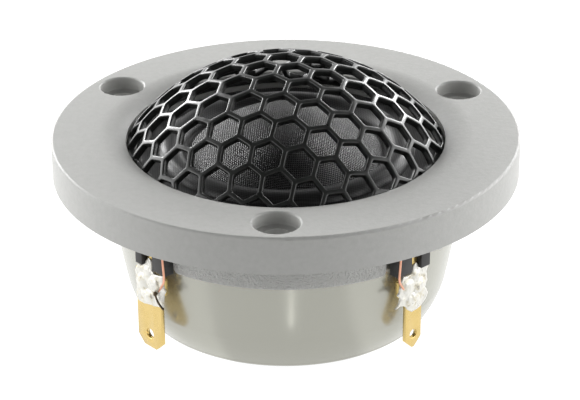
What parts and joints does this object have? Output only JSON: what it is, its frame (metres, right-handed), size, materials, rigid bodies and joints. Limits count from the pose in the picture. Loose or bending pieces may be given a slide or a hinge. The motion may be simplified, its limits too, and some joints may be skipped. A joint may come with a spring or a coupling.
{
  "type": "car tweeter",
  "caption": "Round soft-dome car tweeter: cast flange with recessed screw holes, domed hexagonal mesh grille, notched skirt, bowl-shaped rear chamber and gold blade terminals.",
  "frame": {"origin": "centre of the flange's rear seating face, on the tweeter's axis", "axes": "+Z is the way the sound goes, out of the grille; -Y points at the screw hole midway between the two terminals"},
  "size_m": [0.062, 0.062, 0.0344],
  "materials": {
    "cast_paint": "fine-grained light grey paint on cast aluminium",
    "grille_black": "semi-gloss black paint on stamped steel mesh",
    "dome_cloth": "woven textile with a black damping coat",
    "surround_cloth": "pressed textile with a black semi-gloss coat",
    "former_alloy": "thin rolled aluminium",
    "coil_wire": "enamelled copper-clad wire",
    "black_plastic": "moulded black plastic",
    "gold_plate": "polished gold plating on brass",
    "solder": "bright tin solder",
    "lead_copper": "lacquered copper wire",
    "zinc_steel": "zinc-plated low-carbon steel",
    "bare_copper": "drawn bare copper",
    "felt": "dense wool felt",
    "cup_lacquer": "smooth semi-gloss warm grey lacquer",
    "foam": "open-cell polyurethane foam",
    "magnet_nickel": "nickel-plated neodymium"
  },
  "bodies": {
    "frame": {"faceplate": "cast_paint", "grille": "grille_black", "surround": "surround_cloth", "diaphragm_ring": "black_plastic", "terminal_wide": "gold_plate", "terminal_narrow": "gold_plate", "solder_wide": "solder", "solder_narrow": "solder", "lead_wire_wide": "lead_copper", "lead_wire_narrow": "lead_copper", "top_plate": "zinc_steel", "yoke": "zinc_steel", "copper_cap": "bare_copper", "pole_pad": "felt", "rear_cup": "cup_lacquer", "chamber_foam": "foam", "magnet_1": "magnet_nickel", "magnet_2": "magnet_nickel", "magnet_3": "magnet_nickel", "magnet_4": "magnet_nickel", "magnet_5": "magnet_nickel", "magnet_6": "magnet_nickel"},
    "diaphragm": {"dome": "dome_cloth", "coil_former": "former_alloy", "coil_winding": "coil_wire"}
  },
  "joints": [
    {"name": "diaphragm_travel", "type": "slide", "parent": "frame", "child": "diaphragm", "axis": [0, 0, 1], "range_m": [-0.0005, 0.0005], "stiffness_N_per_m": 2000, "deforming": ["surround"]}
  ]
}
